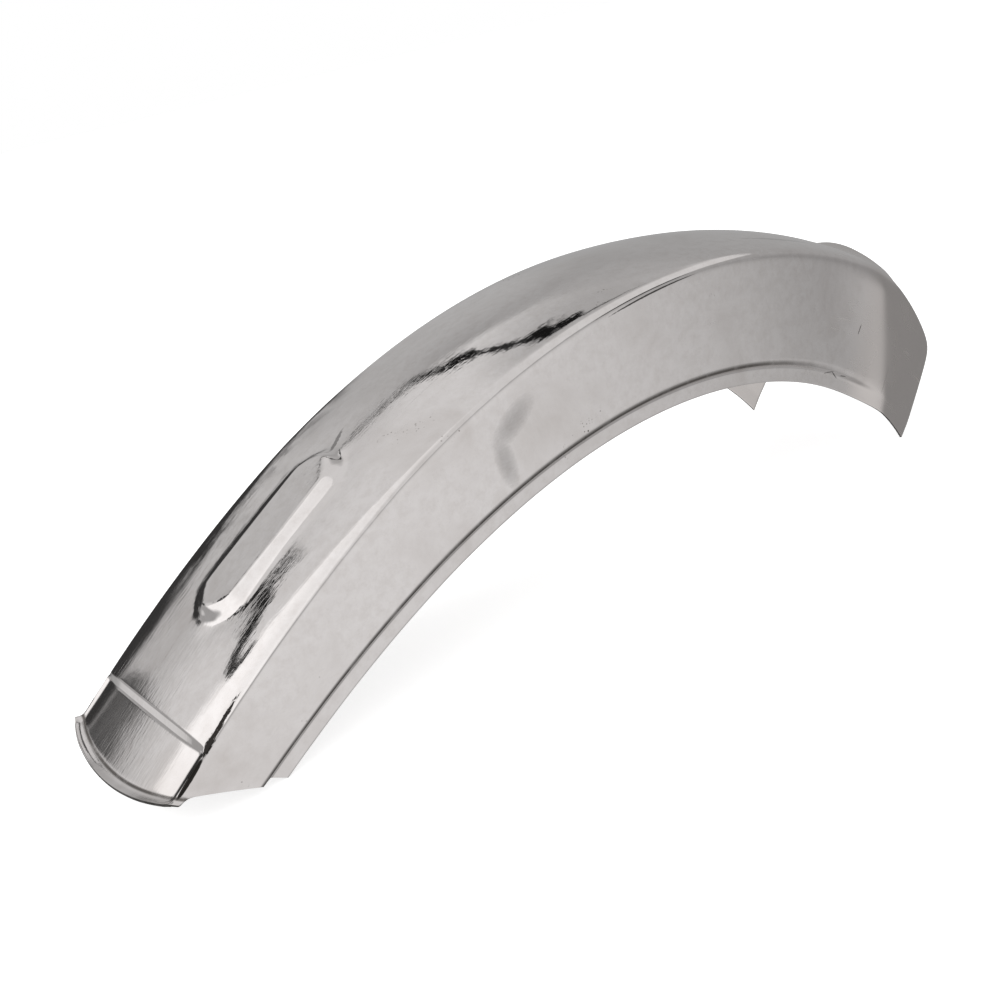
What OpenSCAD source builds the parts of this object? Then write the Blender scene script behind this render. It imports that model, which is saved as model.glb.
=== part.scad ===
// Rear mudguard of a moped: one piece of bright sheet steel, pressed and trimmed.
// The sheet is lofted along the arch of the crown. Every place along the arch is a
// distance on the crown's centre line, from the tail end of the sheet before it is trimmed.
// Depths are measured from the crown's centre line towards the wheel.

/* [Arch] */
// Length of the arch from the tail end of the untrimmed sheet to the tips of the front ears
arch_len = 525; // [500:5:560]
// Radius of the arch at the tail, where the crown is nearly straight
tail_r = 880; // [700:10:1200]
// Radius of the arch at the front ears
front_r = 212; // [200:1:260]
// Thickness of the sheet
sheet = 1; // [0.8:0.1:1.5]

/* [Section] */
// Width of the crown between the corners of its two shoulders
crown_w = 93; // [86:1:104]
// Drop of the crown from its centre line to the shoulders, at the tail
crown_drop_tail = 0.7; // [0.5:0.1:3]
// Drop of the crown from its centre line to the shoulders, at the front
crown_drop_front = 10; // [6:0.5:12]
// How far each skirt leans out past the shoulder, at the tail
skirt_out_tail = 0.5; // [0:0.25:3]
// How far each skirt leans out past the shoulder, at the front
skirt_out_front = 5; // [3:0.5:8]
// Depth from the crown to the rim, at the tail
depth_tail = 38; // [34:1:46]
// Depth from the crown to the rim, at the front
depth_front = 78; // [70:1:84]
// Rounding of the shoulder on its crown side, at the tail
round_tail = 15; // [8:1:18]
// Rounding of the shoulder on its crown side, along the middle
round_middle = 4.5; // [3:0.5:8]
// Rounding of the shoulder on its crown side, at the front
round_front = 8; // [4:0.5:12]
// Rounding of the shoulder on its skirt side
round_skirt = 3.5; // [2.5:0.5:4.5]
// Length over which the shoulder tightens, from the lamp pad's tail end on
tighten_run = 98; // [80:2:120]
// Place where the shoulder begins to soften again towards the front
soften_at = 367; // [340:5:400]

/* [Rim band] */
// Width of the band along the rim
band_w = 8.5; // [7:0.5:11]
// How far the band is set in from the skirt
band_step = 2.2; // [1:0.1:3.5]
// Height of the sloping step between the skirt and the band
band_riser = 1.8; // [1.2:0.1:3]
// Place where the step begins to fade out towards the front ears
band_fade = 450; // [430:5:470]
// Length over which it fades
band_fade_run = 35; // [25:5:45]

/* [Tail] */
// Place of the lip's middle
lip_at = 1.5; // [0:0.5:3]
// How far the lip's corners lie behind its middle
lip_bow = 8; // [5:0.5:10]
// Depth down each skirt that the lip's turned edge reaches
lip_side = 5.5; // [4.5:0.5:6]
// How far the turned edge falls back for each millimetre of that depth
lip_lean = 0.5; // [0:0.1:0.8]
// Height of the lip's outward turned edge
lip_rise = 2.5; // [1.5:0.25:3.5]
// Length of sheet that the turned edge takes
lip_run = 3.5; // [2.5:0.5:7]
// Depth over which the turned edge dies out on the skirts
lip_fade = 5; // [4:0.5:7]
// Place of the skirt's tail end below the lip
skirt_start = 14; // [13:0.5:18]
// Place of the skirt's tail corner, at the step above the band
skirt_corner = 29.5; // [27:0.5:32]
// Place of the band's tail end, at its upper edge
band_corner = 33.5; // [32.5:0.5:35]
// Place of the band's tail end, at the rim
band_start = 36.5; // [35.5:0.5:40]
// Place of the pressed step across the crown
step_at = 30; // [27:0.5:32]
// Length of the slope of that step
step_run = 3; // [2:0.5:4]
// Depth of that step
step_drop = 1.8; // [1:0.1:2.5]
// Distance of the dished field, between the step and the lip, from the shoulder's corner
dish_edge = 3.5; // [2.5:0.5:7]
// Width of the steep slope at the sides of the dished field
dish_slope = 2; // [1:0.5:2.5]

/* [Lamp pad] */
// Place of the pad's tail end
pad_start = 74; // [68:1:80]
// Length of the pad's flat top
pad_len = 75; // [60:1:90]
// Width of the pad's flat top
pad_w = 22; // [18:1:28]
// Height of the pad above the crown
pad_rise = 2.4; // [1.5:0.1:3]
// Width of the slope round the pad
pad_slope = 5; // [4:0.5:6]

/* [Front] */
// Place of the crown's front edge
crown_end = 468; // [460:1:474]
// Rise of the flare at the middle of the crown's front edge
flare_rise = 6; // [3:0.5:8]
// Length of that flare
flare_run = 24; // [16:2:32]
// Width of the flare
flare_w = 76; // [64:2:84]
// Fullness of the flare across the crown
flare_full = 1.5; // [1.2:0.1:2]
// Depth at which the ears begin below the crown's front edge
ear_top = 11; // [10:0.5:13]
// Depth gained by the ear's sloping top edge for each millimetre along the arch
ear_fall = 0.34; // [0.28:0.01:0.4]
// Place of the ear's front edge at its upper corner
ear_corner = 518; // [510:1:520]
// Depth of the ear's upper corner, below which its front edge leans forward
ear_corner_depth = 33; // [28:1:40]
// Rounding of the ear's upper corner
ear_round = 3; // [2:0.5:5]
// Place of the upright ridge where the ear begins, at the shoulder
ridge_at = 451; // [446:1:456]
// How far the ridge leans forward, for each millimetre of depth
ridge_lean = 0.41; // [0.3:0.01:0.5]
// How far the ridge stands out from the skirt
ridge_out = 2.5; // [1:0.25:4]
// Length over which the skirt swells out to the ridge
ridge_run = 38; // [26:2:50]
// Depth at which the ridge begins to stand out
ridge_top = 6; // [4:0.5:9]
// Depth at which it stands out in full
ridge_full = 18; // [14:1:24]
// How far the ear's front edge is turned in from the ridge
ear_in = 4; // [2:0.5:6]

/* [Hidden] */

// Share of the way from one end of a length to the other, held between 0 and 1
function share(x, from, to) = min(1, max(0, (x - from) / (to - from)));
// The same share, eased at both ends
function ease(x, from, to) = let (s = share(x, from, to)) s * s * (3 - 2 * s);
function mix(p, q, t) = p + (q - p) * t;
function bend(p, q, r, t) = mix(mix(p, q, t), mix(q, r, t), t);

// Curvature runs evenly from the tail's value to the front's, so the heading is a
// parabola of the place along the arch. The heading is the fall of the crown.
turn_tail = 180 / PI / tail_r;
turn_front = 180 / PI / front_r;
function heading(a) = turn_tail * a + (turn_front - turn_tail) * a * a / (2 * arch_len);
function aim(angle) = [cos(angle), -sin(angle)];
function outwards(a) = [sin(heading(a)), cos(heading(a))];

// Points of the crown's centre line, summed once in short steps
track_step = 5;
track_n = ceil(arch_len / track_step) + 1;
track = [for (i = 0, p = [0, 0]; i <= track_n;
    p = p + track_step * aim(heading((i + 0.5) * track_step)), i = i + 1) p];
function spot(a) =
    let (i = min(track_n, max(0, floor(a / track_step))), rest = a - i * track_step)
    track[i] + rest * aim(heading(i * track_step + rest / 2));

// The section at one place: points of one half, as distance from the middle and depth
pad_half = pad_w / 2;
pad_foot = pad_half + pad_slope;
pad_shares = [0, 0.45, 0.8, 1];
pad_columns = concat(pad_half * pad_shares, [pad_half + 0.5 * pad_slope, pad_foot]);
crown_shares = [0.36, 0.7];
corner_shares = [0.28, 0.52, 0.76];
skirt_shares = [0.08, 0.16, 0.25, 0.37, 0.54, 0.76, 1];
band_shares = [0, 0.5, 1];

function crown_drop(a) = mix(crown_drop_tail, crown_drop_front, a / arch_len);
function depth(a) = mix(depth_tail, depth_front, a / arch_len);
function skirt_half(a) = crown_w / 2 + mix(skirt_out_tail, skirt_out_front, a / arch_len);
function rounding(a) =
    a < arch_len / 2
        ? mix(round_tail, round_middle, ease(a, pad_start, pad_start + tighten_run))
        : mix(round_middle, round_front, ease(a, soften_at, crown_end));
function crown_point(a, y) = [y, crown_drop(a) * pow(2 * y / crown_w, 2)];

function half_section(a) =
    let (
        fade = 1 - ease(a, band_fade, band_fade + band_fade_run),
        corner = [crown_w / 2, crown_drop(a)],
        foot = [skirt_half(a), depth(a) - band_w],
        down = (foot - corner) / norm(foot - corner),
        from = crown_point(a, crown_w / 2 - rounding(a)),
        to = corner + round_skirt * down,
        top = foot + [-band_step * fade, band_riser],
        rim = [top.x, depth(a)]
    )
    [
        for (y = pad_columns) crown_point(a, y),
        for (t = crown_shares) crown_point(a, mix(pad_foot, from.x, t)),
        from,
        for (t = corner_shares) bend(from, corner, to, t),
        to,
        for (t = skirt_shares) mix(to, foot, t),
        for (t = band_shares) mix(top, rim, t)
    ];
half_n = len(half_section(0)) - 1;

// Places of the two trimmed ends at each point of the section
tail_section = half_section(skirt_corner);
front_section = half_section(ear_corner);
skirt_fall = (skirt_corner - skirt_start) / (depth(skirt_corner) - band_w - lip_side);
function lip_end(p) =
    lip_at + lip_bow * pow(min(1, 2 * p.x / crown_w), 2) + lip_lean * max(0, p.y - crown_drop_tail);
function tail_end(j) =
    let (p = tail_section[j])
    j > half_n - len(band_shares)
        ? mix(band_start, band_corner, (depth(skirt_corner) - p.y) / (band_w - band_riser))
        : p.y > lip_side ? skirt_start + skirt_fall * (p.y - lip_side)
        : lip_end(p);
function soft_min(p, q, r) = -r * ln(exp(-p / r) + exp(-q / r));
function front_end(j) =
    let (
        fall = max(0, front_section[j].y - ear_top),
        top_edge = crown_end + fall / ear_fall,
        end_edge = mix(ear_corner, arch_len, share(front_section[j].y, ear_corner_depth, depth_front))
    )
    fall == 0 ? crown_end : max(crown_end, soft_min(top_edge, end_edge, ear_round));

// What is pressed out of the plain section, outwards, at a place and a point of the section.
// The pad's top is one plane, square to the arch at the pad's middle.
pad_middle = pad_start + pad_len / 2;
pad_out = outwards(pad_middle);
pad_plane = (spot(pad_middle) + pad_rise * pad_out) * pad_out;
function pad_lift(a, p) =
    let (
        off = norm([max(0, abs(a - pad_middle) - pad_len / 2 + pad_half), p.x]),
        out = outwards(a),
        up = (pad_plane - (spot(a) - p.y * out) * pad_out) / (out * pad_out)
    )
    off < pad_foot ? up * (1 - ease(off, pad_half, pad_foot)) : 0;
dish_half = crown_w / 2 - dish_edge;
function dish_lift(a, y) =
    let (inside = 1 - ease(y, dish_half, dish_half + dish_slope))
    -step_drop * inside * (1 - ease(a, step_at, step_at + step_run))
        * ease(a, -step_at, step_at);
function lip_lift(a, j, start) =
    let (
        near = 1 - share(a, start, start + lip_run),
        low = ease(tail_section[j].y, lip_side - lip_fade / 2, lip_side + lip_fade / 2)
    )
    lip_rise * near * near * (1 - low);
function flare_lift(a, p) =
    let (
        run = share(a, crown_end - flare_run, crown_end),
        across = 1 - pow(2 * min(p.x, crown_w / 2) / flare_w, flare_full),
        skirt = share(p.y, crown_drop_front, depth_front / 2)
    )
    flare_rise * run * run * across * (1 - skirt);
function ridge_place(p) = ridge_at + ridge_lean * p.y;
function ear_lift(a, p) =
    let (
        ridge = ridge_place(p),
        swell = share(a, ridge - ridge_run, ridge),
        fall = ear_in * share(a, ridge, arch_len)
    )
    ease(p.y, ridge_top, ridge_full) * (ridge_out * swell * swell - fall);

// One point of the outer face, from the place a and the column j, negative on the near side
function side(v) = v < 0 ? -1 : 1;
function section_point(a, j) =
    let (
        s = half_section(a),
        k = abs(j),
        p = s[k],
        along = s[min(half_n, k + 1)] - s[max(0, k - 1)],
        out = k == 0 ? [0, -1] : [along.y, -along.x] / norm(along),
        lift = pad_lift(a, p) + dish_lift(a, p.x) + flare_lift(a, p)
    )
    p + lip_lift(a, k, tail_end(k)) * out + [ear_lift(a, p), -lift];
function skin_point(a, j) =
    let (p = section_point(a, j), w = spot(a) - p.y * outwards(a))
    [w.x, side(j) * p.x, w.y];

// Rows of the loft: dense where the sheet is pressed. The tail rows of each column are
// drawn back to its trimmed end, and the front rows run by the ridge to the front end.
crown_zone = 24;
skirt_zone = 48;
front_zone = 440;
lip_rows = [0, 2, 4, 6];
field_rows = [11, 18, 25];
step_rows = [0, 3.5, 7, 15, 24];
turn_rows = [0, 3, 8, pad_half];
pad_n = 5;
middle_n = 22;
swell_n = 4;
ear_n = 6;
step_end = step_at + step_run;
pad_end = pad_start + pad_len;
pad_rows = [
    pad_start - pad_slope,
    pad_start - 0.5 * pad_slope,
    for (r = turn_rows) pad_start + r,
    for (i = [1:pad_n - 1]) mix(pad_start + pad_half, pad_end - pad_half, i / pad_n),
    for (i = [1:len(turn_rows)]) pad_end - turn_rows[len(turn_rows) - i],
    pad_end + 0.5 * pad_slope,
    pad_end + pad_slope
];
plain_rows = [
    each lip_rows,
    each field_rows,
    step_at,
    step_at + 0.5 * step_run,
    for (r = step_rows) step_end + r,
    each pad_rows,
    for (i = [1:middle_n]) mix(pad_end + pad_slope, front_zone, i / middle_n)
];
row_n = len(plain_rows) + swell_n + ear_n;
function tail_zone(j) = mix(crown_zone, skirt_zone, share(tail_section[j].y, lip_side, depth_tail));
function plain_place(a, j) =
    let (zone = tail_zone(j))
    a < zone ? mix(tail_end(j), zone, a / zone) : a;
function front_place(k, j) =
    let (ridge = ridge_place(front_section[j]))
    k <= swell_n ? mix(front_zone, ridge, k / swell_n) : mix(ridge, front_end(j), (k - swell_n) / ear_n);
function row_place(i, j) =
    let (k = i - len(plain_rows) + 1)
    k <= 0 ? plain_place(plain_rows[i], abs(j)) : front_place(k, abs(j));
column_n = 2 * half_n + 1;
outer_rows = [for (i = [0:row_n - 1]) [for (j = [-half_n:half_n]) skin_point(row_place(i, j), j)]];

// The inner face is the outer face set in by the thickness of the sheet
function inner_point(i, j) =
    let (
        fore = outer_rows[min(row_n - 1, i + 1)][j] - outer_rows[max(0, i - 1)][j],
        across = outer_rows[i][min(column_n - 1, j + 1)] - outer_rows[i][max(0, j - 1)],
        out = cross(fore, across)
    )
    outer_rows[i][j] - sheet * out / norm(out);
outer = [for (row = outer_rows) each row];
inner = [for (i = [0:row_n - 1]) for (j = [0:column_n - 1]) inner_point(i, j)];
sheet_points = concat(outer, inner);

// The piece stands on the tail ends of its rim bands and the tips of its ears
function lowest(i) = outer_rows[i][0];
rear_foot = lowest(0);
front_foot = lowest(row_n - 1);
rest_turn = atan2(front_foot.z - rear_foot.z, front_foot.x - rear_foot.x);
function level(p) = [
    p.x * cos(rest_turn) + p.z * sin(rest_turn),
    p.y,
    p.z * cos(rest_turn) - p.x * sin(rest_turn)
];
levelled = [for (p = sheet_points) level(p)];
low_x = min([for (p = levelled) p.x]);
high_x = max([for (p = levelled) p.x]);
low_z = min([for (p = levelled) p.z]);
placed = [for (p = levelled) p - [(low_x + high_x) / 2, 0, low_z]];

// Faces: both skins, the two trimmed ends and the two rims
function quad(p, q, r, s) = [[p, q, r], [p, r, s]];
inner_start = row_n * column_n;
function at(i, j) = i * column_n + j;
skin_faces = [
    for (i = [0:row_n - 2]) for (j = [0:column_n - 2])
        each quad(at(i, j), at(i, j + 1), at(i + 1, j + 1), at(i + 1, j))
];
inner_faces = [for (f = skin_faces) [f[0] + inner_start, f[2] + inner_start, f[1] + inner_start]];
end_faces = [
    for (j = [0:column_n - 2])
        each quad(at(0, j + 1), at(0, j), at(0, j) + inner_start, at(0, j + 1) + inner_start),
    for (j = [0:column_n - 2]) let (i = row_n - 1)
        each quad(at(i, j), at(i, j + 1), at(i, j + 1) + inner_start, at(i, j) + inner_start)
];
rim_faces = [
    for (i = [0:row_n - 2])
        each quad(at(i, 0), at(i + 1, 0), at(i + 1, 0) + inner_start, at(i, 0) + inner_start),
    for (i = [0:row_n - 2]) let (j = column_n - 1)
        each quad(at(i + 1, j), at(i, j), at(i, j) + inner_start, at(i + 1, j) + inner_start)
];

module mudguard() {
    color("lightgray")
        polyhedron(points = placed, faces = concat(skin_faces, inner_faces, end_faces, rim_faces));
}

mudguard();
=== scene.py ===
import math

import bmesh
import bpy
from mathutils import Matrix, Vector


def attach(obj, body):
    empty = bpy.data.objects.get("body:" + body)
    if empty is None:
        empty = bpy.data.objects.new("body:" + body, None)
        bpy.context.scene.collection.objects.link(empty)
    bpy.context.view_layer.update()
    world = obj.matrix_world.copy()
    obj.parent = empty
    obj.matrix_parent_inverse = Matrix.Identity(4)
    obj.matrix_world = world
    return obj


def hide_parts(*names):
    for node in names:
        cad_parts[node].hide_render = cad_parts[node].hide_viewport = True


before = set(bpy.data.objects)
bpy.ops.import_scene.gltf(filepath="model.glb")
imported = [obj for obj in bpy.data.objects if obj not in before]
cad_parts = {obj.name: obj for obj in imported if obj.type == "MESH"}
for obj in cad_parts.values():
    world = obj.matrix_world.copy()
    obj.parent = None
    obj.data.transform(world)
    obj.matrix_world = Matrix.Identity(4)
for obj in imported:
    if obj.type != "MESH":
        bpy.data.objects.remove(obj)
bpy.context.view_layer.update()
print("frame loaded")

# The photograph's view, in degrees and metres
viewpoint = {
    "azimuth": 33.3,
    "elevation": 22.1,
    "roll": -12.0,
    "place": (-0.3147, -0.4447, 0.2589),
    "lens": 46.8,
    "sensor": 36.0,
}

# The pressed sheet, in millimetres: places along the arch and depths below the crown
guard = {
    "archLength": 525.0,
    "tailRadius": 880.0,
    "frontRadius": 212.0,
    "sheet": 1.0,
    "crownWidth": 93.0,
    "crownDrop": (0.7, 10.0),
    "skirtOut": (0.5, 5.0),
    "depth": (38.0, 78.0),
    "rounding": (15.0, 4.5, 8.0),
    "skirtRounding": 3.5,
    "tightenRun": 98.0,
    "softenAt": 367.0,
    "bandWidth": 8.5,
    "bandStep": 2.2,
    "bandRiser": 1.8,
    "bandFade": (450.0, 35.0),
    "lipAt": 1.5,
    "lipBow": 8.0,
    "lipSide": 5.5,
    "lipLean": 0.5,
    "lipRise": 2.5,
    "lipRun": 3.5,
    "lipFade": 5.0,
    "skirtStart": 14.0,
    "skirtCorner": 29.5,
    "bandCorner": 33.5,
    "bandStart": 36.5,
    "stepAt": 30.0,
    "stepRun": 3.0,
    "stepDrop": 1.8,
    "dishEdge": 3.5,
    "dishSlope": 2.0,
    "padStart": 74.0,
    "padLength": 75.0,
    "padWidth": 22.0,
    "padRise": 2.4,
    "padSlope": 5.0,
    "crownEnd": 468.0,
    "flareRise": 6.0,
    "flareRun": 24.0,
    "flareWidth": 76.0,
    "flareFull": 1.5,
    "earTop": 11.0,
    "earFall": 0.34,
    "earCorner": 518.0,
    "earRound": 3.0,
    "ridgeAt": 451.0,
    "ridgeLean": 0.41,
    "ridgeOut": 2.5,
    "ridgeRun": 38.0,
    "ridgeDepth": (6.0, 18.0),
    "earIn": 4.0,
    "crownZone": 24.0,
    "skirtZone": 48.0,
    "frontZone": 440.0,
    "lipRows": (0, 2, 4, 6),
    "fieldRows": (11, 18, 25),
    "behindPadRows": (36.5, 40, 48, 57),
    "padTurnRows": (3, 8),
    "middleRows": 22,
    "swellRows": 4,
    "earRows": 6,
    "smoothing": 2,
    "edgeRound": 0.25,
}


def share(x, low, high):
    return min(1.0, max(0.0, (x - low) / (high - low)))


def ease(x, low, high):
    s = share(x, low, high)
    return s * s * (3 - 2 * s)


def mix(p, q, t):
    return p + (q - p) * t


def bendAt(p, q, r, t):
    return mix(mix(p, q, t), mix(q, r, t), t)


def softMin(p, q, r):
    return -r * math.log(math.exp(-p / r) + math.exp(-q / r))


# --- the arch: its heading falls as a parabola, summed in short steps
def heading(a):
    g = guard
    tail, front = 1 / g["tailRadius"], 1 / g["frontRadius"]
    return tail * a + (front - tail) * a * a / (2 * g["archLength"])


def alongArch(angle):
    return Vector((math.cos(angle), -math.sin(angle)))


def outwards(a):
    return Vector((math.sin(heading(a)), math.cos(heading(a))))


trackStep = 5.0
track = [Vector((0, 0))]
for k in range(math.ceil(guard["archLength"] / trackStep) + 1):
    track.append(track[-1] + trackStep * alongArch(heading((k + 0.5) * trackStep)))


def spot(a):
    k = min(len(track) - 1, max(0, math.floor(a / trackStep)))
    rest = a - k * trackStep
    return track[k] + rest * alongArch(heading(k * trackStep + rest / 2))


# --- the section: points of one half, as distance from the middle and depth
def ramp(ends, a):
    return mix(ends[0], ends[1], a / guard["archLength"])


def rounding(a):
    g, r = guard, guard["rounding"]
    if a < g["archLength"] / 2:
        return mix(r[0], r[1], ease(a, g["padStart"], g["padStart"] + g["tightenRun"]))
    return mix(r[1], r[2], ease(a, g["softenAt"], g["crownEnd"]))


def crownPoint(a, y):
    return Vector((y, ramp(guard["crownDrop"], a) * (2 * y / guard["crownWidth"]) ** 2))


def halfSection(a):
    g = guard
    half, slope = g["padWidth"] / 2, g["padSlope"]
    fade = 1 - ease(a, g["bandFade"][0], sum(g["bandFade"]))
    depth = ramp(g["depth"], a)
    corner = Vector((g["crownWidth"] / 2, ramp(g["crownDrop"], a)))
    foot = Vector((g["crownWidth"] / 2 + ramp(g["skirtOut"], a), depth - g["bandWidth"]))
    down = (foot - corner).normalized()
    start = crownPoint(a, g["crownWidth"] / 2 - rounding(a))
    end = corner + g["skirtRounding"] * down
    top = foot + Vector((-g["bandStep"] * fade, g["bandRiser"]))
    rim = Vector((top.x, depth))
    pad = (0, 0.45 * half, 0.8 * half, half, half + 0.5 * slope, half + slope)
    points = [crownPoint(a, y) for y in pad]
    points += [crownPoint(a, mix(half + slope, start.x, t)) for t in (0.36, 0.7)]
    points += [start] + [bendAt(start, corner, end, t) for t in (0.28, 0.52, 0.76)] + [end]
    points += [mix(end, foot, t) for t in (0.08, 0.16, 0.25, 0.37, 0.54, 0.76, 1)]
    points += [mix(top, rim, t) for t in (0, 0.5, 1)]
    return points


tailSection = halfSection(guard["skirtCorner"])
frontSection = halfSection(guard["earCorner"])
halfCount = len(tailSection) - 1


# --- the two trimmed ends at each point of the section
def tailEnd(j):
    g, p = guard, tailSection[j]
    rimDepth = ramp(g["depth"], g["skirtCorner"])
    if j > halfCount - 3:
        return mix(g["bandStart"], g["bandCorner"], (rimDepth - p.y) / (g["bandWidth"] - g["bandRiser"]))
    if p.y > g["lipSide"]:
        fall = (g["skirtCorner"] - g["skirtStart"]) / (rimDepth - g["bandWidth"] - g["lipSide"])
        return g["skirtStart"] + fall * (p.y - g["lipSide"])
    bow = g["lipBow"] * min(1, 2 * p.x / g["crownWidth"]) ** 2
    return g["lipAt"] + bow + g["lipLean"] * max(0, p.y - g["crownDrop"][0])


def frontEnd(j):
    g, p = guard, frontSection[j]
    fall = max(0, p.y - g["earTop"])
    topEdge = g["crownEnd"] + fall / g["earFall"]
    endEdge = mix(g["earCorner"], g["archLength"], share(p.y, 3 * g["earTop"], g["depth"][1]))
    return g["crownEnd"] if fall == 0 else max(g["crownEnd"], softMin(topEdge, endEdge, g["earRound"]))


# --- what is pressed out of the plain section
padMiddle = guard["padStart"] + guard["padLength"] / 2
padOut = outwards(padMiddle)
padPlane = (spot(padMiddle) + guard["padRise"] * padOut).dot(padOut)


def padLift(a, p):
    g = guard
    half = g["padWidth"] / 2
    off = math.hypot(max(0, abs(a - padMiddle) - g["padLength"] / 2 + half), p.x)
    if off >= half + g["padSlope"]:
        return 0.0
    out = outwards(a)
    up = (padPlane - (spot(a) - p.y * out).dot(padOut)) / out.dot(padOut)
    return up * (1 - ease(off, half, half + g["padSlope"]))


def dishLift(a, y):
    g = guard
    edge = g["crownWidth"] / 2 - g["dishEdge"]
    inside = 1 - ease(y, edge, edge + g["dishSlope"])
    behindStep = 1 - ease(a, g["stepAt"], g["stepAt"] + g["stepRun"])
    return -g["stepDrop"] * inside * behindStep * ease(a, -g["stepAt"], g["stepAt"])


def lipLift(a, j, start):
    g = guard
    near = 1 - share(a, start, start + g["lipRun"])
    low = ease(tailSection[j].y, g["lipSide"] - g["lipFade"] / 2, g["lipSide"] + g["lipFade"] / 2)
    return g["lipRise"] * near * near * (1 - low)


def flareLift(a, p):
    g = guard
    run = share(a, g["crownEnd"] - g["flareRun"], g["crownEnd"])
    across = 1 - (2 * min(p.x, g["crownWidth"] / 2) / g["flareWidth"]) ** g["flareFull"]
    skirt = share(p.y, g["crownDrop"][1], g["depth"][1] / 2)
    return g["flareRise"] * run * run * across * (1 - skirt)


def ridgePlace(p):
    return guard["ridgeAt"] + guard["ridgeLean"] * p.y


def earLift(a, p):
    g, ridge = guard, ridgePlace(p)
    swell = share(a, ridge - g["ridgeRun"], ridge)
    fall = g["earIn"] * share(a, ridge, g["archLength"])
    return ease(p.y, *g["ridgeDepth"]) * (g["ridgeOut"] * swell * swell - fall)


def skinPoint(a, j):
    k = abs(j)
    s = halfSection(a)
    p = s[k]
    run = s[min(halfCount, k + 1)] - s[max(0, k - 1)]
    out = Vector((0, -1)) if k == 0 else Vector((run.y, -run.x)).normalized()
    lift = padLift(a, p) + dishLift(a, p.x) + flareLift(a, p)
    q = p + lipLift(a, k, tailEnd(k)) * out + Vector((earLift(a, p), -lift))
    w = spot(a) - q.y * outwards(a)
    return Vector((w.x, -q.x if j < 0 else q.x, w.y))


def loftPlaces():
    g = guard
    start, end, slope, half = g["padStart"], g["padStart"] + g["padLength"], g["padSlope"], g["padWidth"] / 2
    turns = g["padTurnRows"]
    rows = [*g["lipRows"], *g["fieldRows"]] + [g["stepAt"] + t * g["stepRun"] for t in (0, 0.5, 1)]
    rows += [*g["behindPadRows"], start - slope, start - 0.5 * slope, start]
    rows += [start + t for t in turns] + [start + half]
    rows += [mix(start + half, end - half, k / 5) for k in range(1, 5)]
    rows += [end - half] + [end - t for t in reversed(turns)] + [end, end + 0.5 * slope, end + slope]
    rows += [mix(end + slope, g["frontZone"], k / g["middleRows"]) for k in range(1, g["middleRows"] + 1)]
    return rows


plainRows = loftPlaces()
rowCount = len(plainRows) + guard["swellRows"] + guard["earRows"]


def rowPlace(i, j):
    g, k = guard, i - len(plainRows) + 1
    if k <= 0:
        a = plainRows[i]
        zone = mix(g["crownZone"], g["skirtZone"], share(tailSection[j].y, g["lipSide"], g["depth"][0]))
        return mix(tailEnd(j), zone, a / zone) if a < zone else a
    ridge = ridgePlace(frontSection[j])
    if k <= g["swellRows"]:
        return mix(g["frontZone"], ridge, k / g["swellRows"])
    return mix(ridge, frontEnd(j), (k - g["swellRows"]) / g["earRows"])


# --- folds and corners kept crisp under the smoothing
stepRow = plainRows.index(guard["stepAt"])
ridgeRow = len(plainRows) - 1 + guard["swellRows"]
footColumn = halfCount - 3
tipColumn = max(j for j in range(halfCount) if tailSection[j].y <= guard["lipSide"])
dishColumns = (10, 11)


def foldSharpness(i, j, runsAlong):
    if runsAlong:
        if abs(j) in dishColumns:
            return 0.85 if i <= stepRow else 0.0
        fade = 1 - share(i, ridgeRow - 8, ridgeRow)
        return {footColumn: 1.0, footColumn + 1: 0.9}.get(abs(j), 0.0) * fade
    if i in (stepRow, stepRow + 2) and abs(j) < tipColumn:
        return 0.85
    return 0.0


def cornerSharpness(i, j):
    if i == 0 and abs(j) in (tipColumn, footColumn, footColumn + 1, halfCount):
        return 0.95
    return 0.8 if i == rowCount - 1 and abs(j) == halfCount else 0.0


# The sheet laid out flat: how far each column lies from the middle
across = [0.0]
for j in range(halfCount):
    across.append(across[-1] + (tailSection[j + 1] - tailSection[j]).length)


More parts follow.
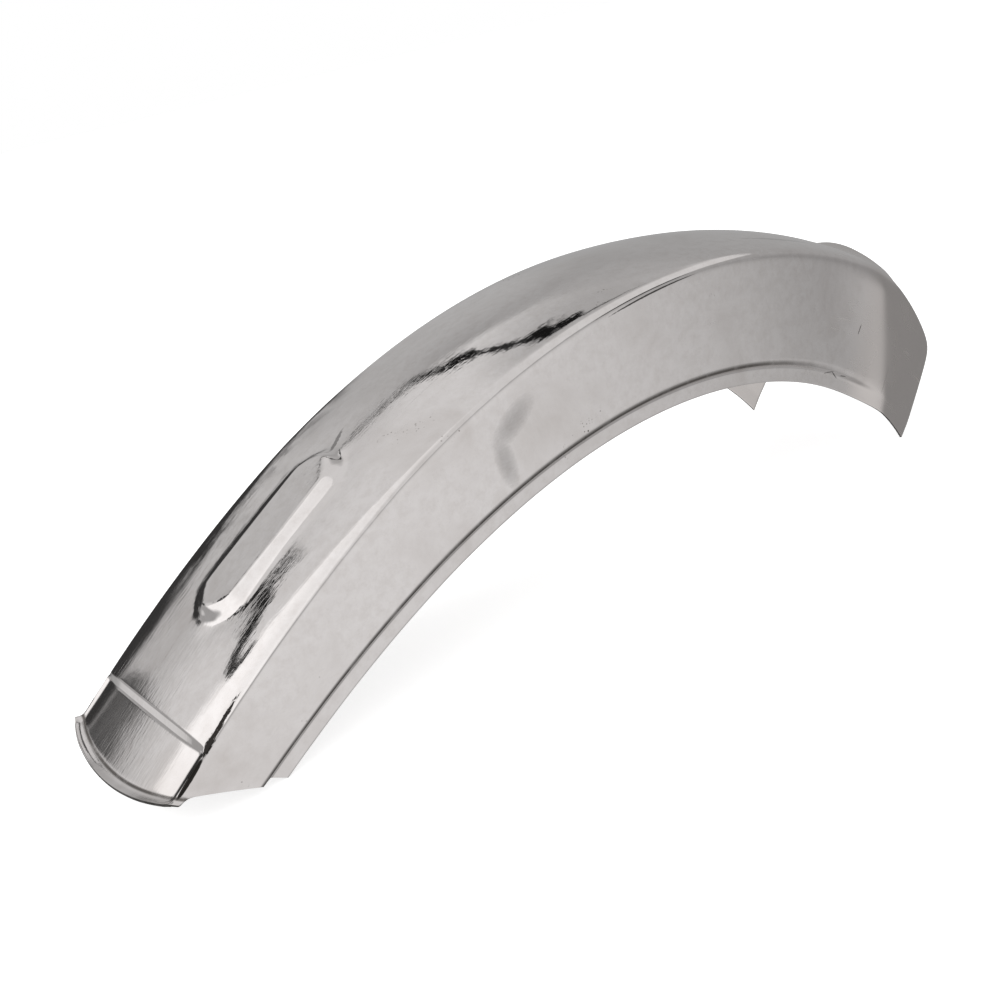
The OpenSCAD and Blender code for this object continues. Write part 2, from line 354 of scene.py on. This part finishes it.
def buildGuard():
    bm = bmesh.new()
    bmesh.ops.create_grid(bm, x_segments=rowCount - 1, y_segments=2 * halfCount, size=0.5)
    fold = bm.edges.layers.float.new("crease_edge")
    corner = bm.verts.layers.float.new("crease_vert")
    spread = bm.loops.layers.uv.new("sheetMap")
    grid = {}
    for v in bm.verts:
        i = round((v.co.x + 0.5) * (rowCount - 1))
        j = round((v.co.y + 0.5) * 2 * halfCount) - halfCount
        grid[v] = (i, j)
        v.co = skinPoint(rowPlace(i, abs(j)), j)
        v[corner] = cornerSharpness(i, j)
    for e in bm.edges:
        (i, j), (m, n) = grid[e.verts[0]], grid[e.verts[1]]
        e[fold] = foldSharpness(min(i, m), j, True) if j == n else foldSharpness(i, j, False)
    for f in bm.faces:
        f.smooth = True
        for loop in f.loops:
            i, j = grid[loop.vert]
            side = math.copysign(1, sum(grid[v][1] for v in f.verts))
            loop[spread].uv = (rowPlace(i, abs(j)) / 1000, side * across[abs(j)] / 1000)
    # It stands on the tail ends of its rim bands and the tips of its ears
    rear = skinPoint(tailEnd(halfCount), -halfCount)
    fore = skinPoint(frontEnd(halfCount), -halfCount)
    turn = math.atan2(fore.z - rear.z, fore.x - rear.x)
    bmesh.ops.rotate(bm, verts=bm.verts, cent=(0, 0, 0), matrix=Matrix.Rotation(turn, 3, "Y"))
    low = Vector(min(v.co[k] for v in bm.verts) for k in range(3))
    high = Vector(max(v.co[k] for v in bm.verts) for k in range(3))
    bmesh.ops.translate(bm, verts=bm.verts, vec=(-(low.x + high.x) / 2, 0, -low.z))
    bmesh.ops.scale(bm, verts=bm.verts, vec=(0.001, 0.001, 0.001))
    mesh = bpy.data.meshes.new("mudguardSheet")
    bm.to_mesh(mesh)
    bm.free()
    piece = bpy.data.objects.new("mudguardSheet", mesh)
    bpy.context.scene.collection.objects.link(piece)
    smooth = piece.modifiers.new("smoothSheet", "SUBSURF")
    smooth.levels = guard["smoothing"]
    smooth.render_levels = guard["smoothing"]
    wall = piece.modifiers.new("sheetWall", "SOLIDIFY")
    wall.thickness = guard["sheet"] / 1000
    wall.offset = -1
    wall.use_even_offset = True
    wall.material_offset_rim = 1
    edge = piece.modifiers.new("edgeRound", "BEVEL")
    edge.width = guard["edgeRound"] / 1000
    edge.segments = 2
    edge.limit_method = "ANGLE"
    edge.angle_limit = math.radians(60)
    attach(piece, "root")
    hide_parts("mudguard")
    return piece


# --- chrome
# The clouds are noise: scale, detail, roughness, twist, then the range read and the range given
chrome = {
    "colour": (0.815, 0.782, 0.772),
    # darker plate colour, for real stains and for painted shade at the front end
    "stainedAndShaded": (0.68, 0.64, 0.62),
    "roughness": 0.035,
    "haze": 0.16,
    "wave": (16.0, 0.00022),
    "ripple": (70.0, 0.00003),
    "peel": (420.0, 0.0000085),
    "streak": ((45, 1100, 1), 0.0000030),
    "grain": ((130, 720, 1), 0.20, 0.000034),
    "mottle": (190.0, 5.0, 0.7, 0.0, 0.40, 0.68, 0.0, 0.55),
    "stain": (22.0, 6.0, 0.62, 0.4, 0.48, 0.72, 0.0, 1.0),
    "hazeCloud": (9.0, 4.0, 0.6, 0.8, 0.42, 0.75, 0.0, 1.0),
    "hair": (1.0, 1.5, 0.5, 0.3, 0.64, 0.70, 0.0, 1.0),
    "worn": (30.0, 3.0, 0.5, 0.0, 0.5, 0.62, 0.0, 1.0),
    "cluster": (26.0, 4.0, 0.7, 0.0, 0.64, 0.70, 0.0, 1.0),
    "patchyFoldShade": (120.0, 4.0, 0.6, 0.0, 0.25, 0.5, 0.5, 0.95),
    "patchyFront": (40.0, 4.0, 0.6, 0.0, 0.3, 0.7, 0.55, 1.0),
    "patchyGrain": (15.0, 3.0, 0.5, 0.0, 0.38, 0.62, 0.15, 1.0),
    "pits": (620.0, 0.30, 0.16),
    "frontHaze": (0.36, 0.45, 0.20),
    "scratchLift": 0.000004,
    # width and colour of the painted shade in the folds
    "foldShadeWidth": 0.0011,
    "foldShadeColour": (0.16, 0.145, 0.135),
    # colour of the dark marks, which include painted dark reflections
    "speckColour": (0.10, 0.085, 0.07),
    "markColour": (0.03, 0.027, 0.025),
    # painted shade at the front end: where along the arch it starts and is full, and how far it darkens
    "frontShade": (0.43, 0.46, 1.0),
}


# The sheared edge of the sheet, where the plate is thin; its dark colour is partly the bare edge and partly
# painted shade along the lower outline
cutEdgeWithShade = {
    "colour": (0.17, 0.16, 0.155),
    "dull": (0.07, 0.065, 0.06),
    "roughness": (0.28, 0.5),
    "spots": (260.0, 5.0, 0.65, 0.0, 0.35, 0.65, 0.0, 1.0),
}


def addNode(tree, kind, **settings):
    n = tree.nodes.new(kind)
    for name, value in settings.items():
        setattr(n, name, value)
    return n


def feed(tree, socket, value):
    if isinstance(value, bpy.types.NodeSocket):
        tree.links.new(value, socket)
    else:
        socket.default_value = value


def noise(tree, place, scale, detail=2.0, rough=0.5, twist=0.0):
    n = addNode(tree, "ShaderNodeTexNoise")
    feed(tree, n.inputs["Vector"], place)
    for name, value in (("Scale", scale), ("Detail", detail), ("Roughness", rough), ("Distortion", twist)):
        n.inputs[name].default_value = value
    return n.outputs["Fac"]


def ranged(tree, value, low, high, start=0.0, end=1.0, kind="LINEAR"):
    n = addNode(tree, "ShaderNodeMapRange", interpolation_type=kind)
    feed(tree, n.inputs["Value"], value)
    for name, v in (("From Min", low), ("From Max", high), ("To Min", start), ("To Max", end)):
        n.inputs[name].default_value = v
    return n.outputs["Result"]


def cloud(tree, place, setting):
    return ranged(tree, noise(tree, place, *setting[:4]), *setting[4:])


def calc(tree, kind, a, b=0.0, c=0.0):
    n = addNode(tree, "ShaderNodeMath", operation=kind)
    feed(tree, n.inputs[0], a)
    feed(tree, n.inputs[1], b)
    if kind == "MULTIPLY_ADD":
        feed(tree, n.inputs[2], c)
    return n.outputs[0]


def blend(tree, share, a, b):
    n = addNode(tree, "ShaderNodeMix", data_type="RGBA")
    feed(tree, n.inputs["Factor"], share)
    feed(tree, n.inputs[6], a)
    feed(tree, n.inputs[7], b)
    return n.outputs[2]


def edgeMaterial():
    m = bpy.data.materials.new("cutEdgeWithShade")
    m.use_nodes = True
    t = m.node_tree
    bsdf = t.nodes["Principled BSDF"]
    bsdf.inputs["Metallic"].default_value = 1.0
    solid = addNode(t, "ShaderNodeTexCoord").outputs["Object"]
    spots = cloud(t, solid, cutEdgeWithShade["spots"])
    # dark edge colour, partly painted shade along the lower outline
    feed(t, bsdf.inputs["Base Color"], blend(t, spots, (*cutEdgeWithShade["colour"], 1), (*cutEdgeWithShade["dull"], 1)))
    feed(t, bsdf.inputs["Roughness"], ranged(t, spots, 0, 1, *cutEdgeWithShade["roughness"]))
    return m


def chromeMaterial():
    m = bpy.data.materials.new("chromedSteel")
    m.use_nodes = True
    t = m.node_tree
    bsdf = t.nodes["Principled BSDF"]
    bsdf.inputs["Metallic"].default_value = 1.0
    solid = addNode(t, "ShaderNodeTexCoord").outputs["Object"]
    flat = addNode(t, "ShaderNodeUVMap", uv_map="sheetMap").outputs["UV"]
    # Faint stains and handling haze
    stain = cloud(t, solid, chrome["stain"])
    haze = cloud(t, solid, chrome["hazeCloud"])
    # Hair scratches, mostly along the arch
    turn = addNode(t, "ShaderNodeMapping")
    feed(t, turn.inputs["Vector"], flat)
    turn.inputs["Rotation"].default_value = (0, 0, 0.12)
    turn.inputs["Scale"].default_value = (26, 900, 1)
    hair = cloud(t, turn.outputs[0], chrome["hair"])
    worn = cloud(t, solid, chrome["worn"])
    scratch = calc(t, "MULTIPLY", hair, worn)
    # Pits of rust, in clusters
    pit = addNode(t, "ShaderNodeTexVoronoi")
    feed(t, pit.inputs["Vector"], solid)
    pit.inputs["Scale"].default_value = chrome["pits"][0]
    dot = ranged(t, pit.outputs["Distance"], *chrome["pits"][1:])
    cluster = cloud(t, solid, chrome["cluster"])
    speck = calc(t, "MULTIPLY", dot, cluster)
    # Painted shade: a patchy dark line in the fold above the rim band
    axes = addNode(t, "ShaderNodeSeparateXYZ")
    feed(t, axes.inputs[0], flat)
    aside = calc(t, "ABSOLUTE", axes.outputs[1])
    fromFold = calc(t, "ABSOLUTE", calc(t, "SUBTRACT", aside, across[footColumn] / 1000))
    inFold = ranged(t, fromFold, chrome["foldShadeWidth"], 0.3 * chrome["foldShadeWidth"])
    behindFront = ranged(t, axes.outputs[0], guard["frontZone"] / 1000, 0.8 * guard["frontZone"] / 1000)
    patchy = cloud(t, solid, chrome["patchyFoldShade"])
    inFold = calc(t, "MULTIPLY", inFold, behindFront)
    # and painted shade where the lip turns up, along its bow
    bow = calc(t, "POWER", calc(t, "MULTIPLY", axes.outputs[1], 2000 / guard["crownWidth"]), 2.0)
    lipFold = calc(t, "MULTIPLY_ADD", bow, -guard["lipBow"] / 1000, axes.outputs[0])
    fromLip = calc(t, "ABSOLUTE", calc(t, "SUBTRACT", lipFold, (guard["lipAt"] + guard["lipRun"]) / 1000))
    inFold = calc(t, "MAXIMUM", inFold, ranged(t, fromLip, 0.0009, 0.0003))
    foldShade = calc(t, "MULTIPLY", inFold, patchy)
    scuffAndPaintedShade = 0.0
    group = markGroup()
    for along, wide, length, width, turned, strength, torn, soft in marks.values():
        mark = addNode(t, "ShaderNodeGroup", node_tree=group)
        feed(t, mark.inputs["Map"], flat)
        for name, value in (("Along", along), ("Across", wide), ("Length", length), ("Width", width),
                            ("Turn", -math.radians(turned)), ("Torn", torn), ("Soft", soft)):
            mark.inputs[name].default_value = value
        scuffAndPaintedShade = calc(t, "MAXIMUM", calc(t, "MULTIPLY", mark.outputs[0], strength), scuffAndPaintedShade)
    mottle = cloud(t, solid, chrome["mottle"])
    # Painted shade: beyond the ridge at the front the plate takes the darker colour fully; elsewhere that
    # colour marks real stains and mottling
    start, full, most = chrome["frontShade"]
    frontShadeShare = ranged(t, axes.outputs[0], start, full, 0.0, most, "SMOOTHSTEP")
    stainedAndShaded = calc(t, "MAXIMUM", calc(t, "MAXIMUM", stain, mottle), frontShadeShare)
    plate = blend(t, stainedAndShaded, (*chrome["colour"], 1), (*chrome["stainedAndShaded"], 1))
    colour = blend(t, speck, plate, (*chrome["speckColour"], 1))
    # painted shade darkens the fold above the rim band and the lip fold
    colour = blend(t, foldShade, colour, (*chrome["foldShadeColour"], 1))
    # dark marks: real scratches and scuffs together with painted dark reflections
    colour = blend(t, scuffAndPaintedShade, colour, (*chrome["markColour"], 1))
    feed(t, bsdf.inputs["Base Color"], colour)
    rough = ranged(t, haze, 0, 1, chrome["roughness"], chrome["haze"])
    rough = calc(t, "MULTIPLY_ADD", scratch, 0.18, rough)
    rough = calc(t, "MULTIPLY_ADD", speck, 0.45, rough)
    rough = calc(t, "MULTIPLY_ADD", foldShade, 0.3, rough)
    dull = ranged(t, axes.outputs[0], *chrome["frontHaze"][:2])
    dull = calc(t, "MULTIPLY", dull, cloud(t, solid, chrome["patchyFront"]))
    rough = calc(t, "MULTIPLY_ADD", dull, chrome["frontHaze"][2], rough)
    feed(t, bsdf.inputs["Roughness"], rough)
    # Pressed sheet is never quite even, and polished plate has a fine peel
    height = 0.0
    for name, detail in (("wave", 1.0), ("ripple", 1.5), ("peel", 1.0)):
        scale, lift = chrome[name]
        height = calc(t, "MULTIPLY_ADD", noise(t, solid, scale, detail), lift, height)
    drawn = addNode(t, "ShaderNodeMapping")
    feed(t, drawn.inputs["Vector"], flat)
    drawn.inputs["Scale"].default_value = chrome["streak"][0]
    height = calc(t, "MULTIPLY_ADD", noise(t, drawn.outputs[0], 1.0, 2.0), chrome["streak"][1], height)
    # Short drawn grain, strong in patches of the crown and slight on the skirts
    cells, lean, lift = chrome["grain"]
    drag = addNode(t, "ShaderNodeMapping")
    feed(t, drag.inputs["Vector"], flat)
    drag.inputs["Rotation"].default_value = (0, 0, lean)
    drag.inputs["Scale"].default_value = cells
    onCrown = ranged(t, aside, 0.050, 0.046, 0.3, 1.0)
    patch = calc(t, "MULTIPLY", cloud(t, solid, chrome["patchyGrain"]), onCrown)
    grained = calc(t, "MULTIPLY", noise(t, drag.outputs[0], 1.0, 2.0, 0.6), patch)
    height = calc(t, "MULTIPLY_ADD", grained, lift, height)
    height = calc(t, "MULTIPLY_ADD", scratch, -chrome["scratchLift"], height)
    bump = addNode(t, "ShaderNodeBump")
    bump.inputs["Strength"].default_value = 1.0
    bump.inputs["Distance"].default_value = 1.0
    feed(t, bump.inputs["Height"], height)
    feed(t, bsdf.inputs["Normal"], bump.outputs["Normal"])
    return m


# Scratches, scuffs and shoulder hatching, and painted dark reflections at the tail corner, shoulder and skirt:
# place along and across the sheet, half length and width, turn, strength, how torn the outline is and how soft
marks = {
    "shoulderHatch": (0.0420, -0.0455, 0.0125, 0.0009, 4, 1.0, 4.2, 0.4),
    "shoulderHatchLow": (0.0345, -0.0458, 0.0060, 0.0014, 4, 1.0, 3.0, 0.4),
    # painted dark reflection in the fold at the tail corner
    "cornerShade": (0.0210, -0.0466, 0.0085, 0.0011, 0, 1.0, 0.6, 0.3),
    # two painted dark reflections along the shoulder
    "shoulderPaintedReflection": (0.2960, -0.0471, 0.0270, 0.0004, 1.0, 0.9, 1.2, 0.5),
    "shoulderPaintedReflectionTwo": (0.2900, -0.0452, 0.0300, 0.0004, 0.5, 0.85, 1.2, 0.5),
    "frontScratch": (0.4448, -0.0628, 0.0017, 0.0003, 62, 0.8, 2.0, 0.5),
    "earScratch": (0.4770, -0.0725, 0.0045, 0.0004, 80, 0.16, 1.5, 0.6),
    "rimScratch": (0.4240, -0.0768, 0.0036, 0.0004, 24, 0.8, 3.0, 0.5),
    "rimScratchTwo": (0.4300, -0.0774, 0.0040, 0.0003, -20, 0.8, 3.0, 0.5),
    "rimScratchThree": (0.4380, -0.0765, 0.0030, 0.0004, 10, 0.8, 3.0, 0.5),
    "padScuff": (0.1580, 0.0060, 0.0080, 0.0012, 30, 0.6, 3.2, 0.5),
    "crownScuff": (0.3950, -0.0250, 0.0200, 0.0010, -6, 0.3, 3.0, 0.5),
    # two painted dark reflections, together a soft S-shaped stripe across the skirt
    "skirtPaintedReflection": (0.2050, -0.0565, 0.0150, 0.0040, 11, 0.32, 0.8, 1.1),
    "skirtPaintedReflectionLow": (0.1930, -0.0650, 0.0095, 0.0050, 68, 0.32, 0.8, 1.1),
}


def markGroup():
    g = bpy.data.node_groups.new("scuffAndShadeMark", "ShaderNodeTree")
    g.interface.new_socket(name="Map", in_out="INPUT", socket_type="NodeSocketVector")
    for name in ("Along", "Across", "Length", "Width", "Turn", "Torn", "Soft"):
        g.interface.new_socket(name=name, in_out="INPUT", socket_type="NodeSocketFloat")
    g.interface.new_socket(name="Mask", in_out="OUTPUT", socket_type="NodeSocketFloat")
    start = addNode(g, "NodeGroupInput")
    end = addNode(g, "NodeGroupOutput")
    middle = addNode(g, "ShaderNodeCombineXYZ")
    g.links.new(start.outputs["Along"], middle.inputs[0])
    g.links.new(start.outputs["Across"], middle.inputs[1])
    shift = addNode(g, "ShaderNodeVectorMath", operation="SUBTRACT")
    g.links.new(start.outputs["Map"], shift.inputs[0])
    g.links.new(middle.outputs[0], shift.inputs[1])
    turned = addNode(g, "ShaderNodeVectorRotate", rotation_type="Z_AXIS")
    g.links.new(shift.outputs[0], turned.inputs["Vector"])
    g.links.new(start.outputs["Turn"], turned.inputs["Angle"])
    part = addNode(g, "ShaderNodeSeparateXYZ")
    g.links.new(turned.outputs[0], part.inputs[0])
    far = calc(g, "POWER", calc(g, "DIVIDE", part.outputs[0], start.outputs["Length"]), 2.0)
    wide = calc(g, "POWER", calc(g, "DIVIDE", part.outputs[1], start.outputs["Width"]), 2.0)
    # The outline is torn into short dashes that lie along the sheet
    drag = addNode(g, "ShaderNodeMapping")
    g.links.new(start.outputs["Map"], drag.inputs["Vector"])
    drag.inputs["Rotation"].default_value = (0, 0, 0.35)
    drag.inputs["Scale"].default_value = (420, 1500, 1)
    ragged = calc(g, "SUBTRACT", noise(g, drag.outputs[0], 1.0, 3.0, 0.7), 0.5)
    reach = calc(g, "MULTIPLY_ADD", ragged, start.outputs["Torn"], calc(g, "ADD", far, wide))
    left = calc(g, "SUBTRACT", 1.1, reach)
    g.links.new(ranged(g, calc(g, "DIVIDE", left, start.outputs["Soft"]), 0.0, 1.0), end.inputs["Mask"])
    return g


# --- floor, light and camera
room = {
    "floorSize": 8.0,
    "floorColour": 0.80,
    "floorLift": 0.74,
    "keyPlace": (-1.1, 0.5, 1.7),
    "keySize": 1.4,
    "keyPower": 8.0,
    "wall": 0.40,
    "ceiling": 0.74,
    "ceilingEdge": (0.525, 0.575),
    "shimmer": (5.0, 0.05),
    "ragged": (22.0, 3.0, 0.65),
}
# What the plate mirrors: azimuth, elevation, inner and outer spread in degrees, brightness
panels = {
    "farWall": (-4, 18, 5, 26, 0.58),
    "midWall": (20, 12, 6, 20, 0.48),
    "ceilingDim": (47, 44, 4, 23, 0.46),
    "rightDark": (118, -15, 8, 42, 0.31),
    "behindCamera": (175, -12, 8, 52, 0.80),
    "farBright": (-28, 27, 4, 10, 0.75),
    "lowBright": (-32, -11, 5, 11, 0.72),
    "lowDark": (48, -45, 14, 30, 0.10),
}
window = {"from": -30, "to": -140, "low": (0.25, 0.45), "edge": 0.04, "fading": (0.70, 0.97, 1.18, 0.94)}
# Dark gaps between the panels: axis, cosine of the angle from it, half width, how ragged,
# middle, spread and brightness
gaps = {
    "ceilingGap": ((0.666, 0.717, 0.208), 0.830, 0.012, 2.2, (0.36, 0.62, 0.70), 19.5, 0.02),
    "gapBlob": ((0.666, 0.717, 0.208), 0.832, 0.030, 1.8, (0.25, 0.755, 0.606), 2.8, 0.01),
    "gapBlobTwo": ((0.666, 0.717, 0.208), 0.834, 0.036, 2.6, (0.40, 0.585, 0.706), 4.6, 0.01),
    "tailGap": ((-0.285, 0.712, 0.641), 0.991, 0.0028, 2.6, (-0.342, 0.765, 0.546), 10, 0.02),
    "tailBlob": ((-0.285, 0.712, 0.641), 0.993, 0.0050, 2.8, (-0.318, 0.770, 0.553), 3.6, 0.02),
    "farGap": ((0.2425, 0, 0.970), 0.02, 0.34, 1.3, (-0.02, 0.998, 0.04), 22, 0.04),
    "fieldGap": ((-0.362, 0.896, 0.259), 1.0, 0.0022, 1.5, (-0.362, 0.896, 0.259), 7, 0.08),
    "wallGap": ((0, 0, 1), 0.540, 0.008, 2.2, (0.06, 0.84, 0.537), 11, 0.02),
}


def aimAt(obj, target):
    obj.rotation_euler = (Vector(target) - obj.location).to_track_quat("-Z", "Y").to_euler()


def bearing(azimuth, elevation):
    az, el = math.radians(azimuth), math.radians(elevation)
    return Vector((math.sin(az) * math.cos(el), math.cos(az) * math.cos(el), math.sin(el)))


def buildFloor():
    bm = bmesh.new()
    bmesh.ops.create_grid(bm, x_segments=1, y_segments=1, size=room["floorSize"] / 2)
    mesh = bpy.data.meshes.new("floor")
    bm.to_mesh(mesh)
    bm.free()
    floor = bpy.data.objects.new("floor", mesh)
    bpy.context.scene.collection.objects.link(floor)
    floor.visible_glossy = False
    m = bpy.data.materials.new("paleFloor")
    m.use_nodes = True
    t = m.node_tree
    t.nodes.clear()
    out = addNode(t, "ShaderNodeOutputMaterial")
    diffuse = addNode(t, "ShaderNodeBsdfDiffuse")
    c = room["floorColour"]
    diffuse.inputs["Color"].default_value = (c, c, c, 1)
    lift = addNode(t, "ShaderNodeEmission")
    seen = addNode(t, "ShaderNodeLightPath").outputs["Is Camera Ray"]
    feed(t, lift.inputs["Strength"], calc(t, "MULTIPLY", seen, room["floorLift"]))
    both = addNode(t, "ShaderNodeAddShader")
    t.links.new(diffuse.outputs[0], both.inputs[0])
    t.links.new(lift.outputs[0], both.inputs[1])
    t.links.new(both.outputs[0], out.inputs["Surface"])
    mesh.materials.append(m)
    return floor


def towards(tree, direction, axis):
    n = addNode(tree, "ShaderNodeVectorMath", operation="DOT_PRODUCT")
    tree.links.new(direction, n.inputs[0])
    n.inputs[1].default_value = axis
    return n.outputs["Value"]


def spotShare(tree, direction, axis, inner, outer):
    close = towards(tree, direction, axis)
    return ranged(tree, close, math.cos(math.radians(outer)), math.cos(math.radians(inner)), kind="SMOOTHSTEP")


def mixLevel(tree, share, a, b):
    n = addNode(tree, "ShaderNodeMix", data_type="FLOAT")
    feed(tree, n.inputs["Factor"], share)
    feed(tree, n.inputs[2], a)
    feed(tree, n.inputs[3], b)
    return n.outputs[0]


def roomLevel(t):
    d = addNode(t, "ShaderNodeTexCoord").outputs["Generated"]
    wobble = addNode(t, "ShaderNodeTexNoise")
    feed(t, wobble.inputs["Vector"], d)
    wobble.inputs["Scale"].default_value = room["shimmer"][0]
    wobble.inputs["Detail"].default_value = 3.0
    shift = addNode(t, "ShaderNodeVectorMath", operation="MULTIPLY_ADD")
    feed(t, shift.inputs[0], wobble.outputs["Color"])
    shift.inputs[1].default_value = (room["shimmer"][1],) * 3
    feed(t, shift.inputs[2], d)
    centre = addNode(t, "ShaderNodeVectorMath", operation="SUBTRACT")
    feed(t, centre.inputs[0], shift.outputs[0])
    centre.inputs[1].default_value = (room["shimmer"][1] / 2,) * 3
    unit = addNode(t, "ShaderNodeVectorMath", operation="NORMALIZE")
    feed(t, unit.inputs[0], centre.outputs[0])
    d = unit.outputs[0]
    height = towards(t, d, (0, 0, 1))
    low, high = room["ceilingEdge"]
    level = ranged(t, height, low, high, room["wall"], room["ceiling"], "SMOOTHSTEP")
    for azimuth, elevation, inner, outer, bright in panels.values():
        level = mixLevel(t, spotShare(t, d, bearing(azimuth, elevation), inner, outer), level, bright)
    w = window
    side = ranged(t, towards(t, d, bearing(w["from"] - 90, 0)), -w["edge"], w["edge"], kind="SMOOTHSTEP")
    back = ranged(t, towards(t, d, bearing(w["to"] + 90, 0)), -0.3, 0.1, kind="SMOOTHSTEP")
    above = ranged(t, height, *w["low"], kind="SMOOTHSTEP")
    lit = calc(t, "MULTIPLY", calc(t, "MULTIPLY", side, back), above)
    level = mixLevel(t, lit, level, ranged(t, height, *w["fading"]))
    ragged = noise(t, d, *room["ragged"])
    for axis, cosine, width, torn, middle, spreadAngle, dark in gaps.values():
        off = calc(t, "ABSOLUTE", calc(t, "SUBTRACT", towards(t, d, axis), cosine))
        off = calc(t, "MULTIPLY_ADD", calc(t, "SUBTRACT", ragged, 0.5), torn * width, off)
        line = ranged(t, off, width, width * 0.6)
        near = spotShare(t, d, middle, spreadAngle * 0.8, spreadAngle)
        level = mixLevel(t, calc(t, "MULTIPLY", line, near), level, dark)
    return level


def lightRoom():
    lamp = bpy.data.lights.new("keyLamp", "AREA")
    lamp.shape = "SQUARE"
    lamp.size = room["keySize"]
    lamp.energy = room["keyPower"]
    key = bpy.data.objects.new("keyLamp", lamp)
    key.location = room["keyPlace"]
    aimAt(key, (0, 0, 0.08))
    key.visible_glossy = False
    bpy.context.scene.collection.objects.link(key)
    world = bpy.data.worlds.new("room")
    bpy.context.scene.world = world
    world.use_nodes = True
    t = world.node_tree
    t.nodes.clear()
    out = addNode(t, "ShaderNodeOutputWorld")
    plain = addNode(t, "ShaderNodeBackground")
    plain.inputs["Color"].default_value = (1, 1, 1, 1)
    feed(t, plain.inputs["Strength"], roomLevel(t))
    white = addNode(t, "ShaderNodeBackground")
    white.inputs["Color"].default_value = (1, 1, 1, 1)
    pick = addNode(t, "ShaderNodeMixShader")
    t.links.new(addNode(t, "ShaderNodeLightPath").outputs["Is Camera Ray"], pick.inputs["Fac"])
    t.links.new(plain.outputs[0], pick.inputs[1])
    t.links.new(white.outputs[0], pick.inputs[2])
    t.links.new(pick.outputs[0], out.inputs["Surface"])


def placeCamera():
    v = viewpoint
    az, el, roll = (math.radians(v[k]) for k in ("azimuth", "elevation", "roll"))
    back = Vector((-math.sin(az) * math.cos(el), -math.cos(az) * math.cos(el), math.sin(el)))
    right = (-back).cross(Vector((0, 0, 1))).normalized()
    up = right.cross(-back)
    turned = math.cos(roll) * right + math.sin(roll) * up
    upright = math.cos(roll) * up - math.sin(roll) * right
    data = bpy.data.cameras.new("photoCamera")
    data.lens = v["lens"]
    data.sensor_width = v["sensor"]
    data.clip_start = 0.01
    camera = bpy.data.objects.new("photoCamera", data)
    bpy.context.scene.collection.objects.link(camera)
    frameAxes = Matrix((turned, upright, back)).transposed().to_4x4()
    camera.matrix_world = Matrix.Translation(v["place"]) @ frameAxes
    bpy.context.scene.camera = camera


sheet = buildGuard()
sheet.data.materials.append(chromeMaterial())
sheet.data.materials.append(edgeMaterial())
print("mudguard sheet built")
buildFloor()
lightRoom()
placeCamera()
print("room, lamps and camera placed")

bpy.context.scene.view_settings.view_transform = "Standard"
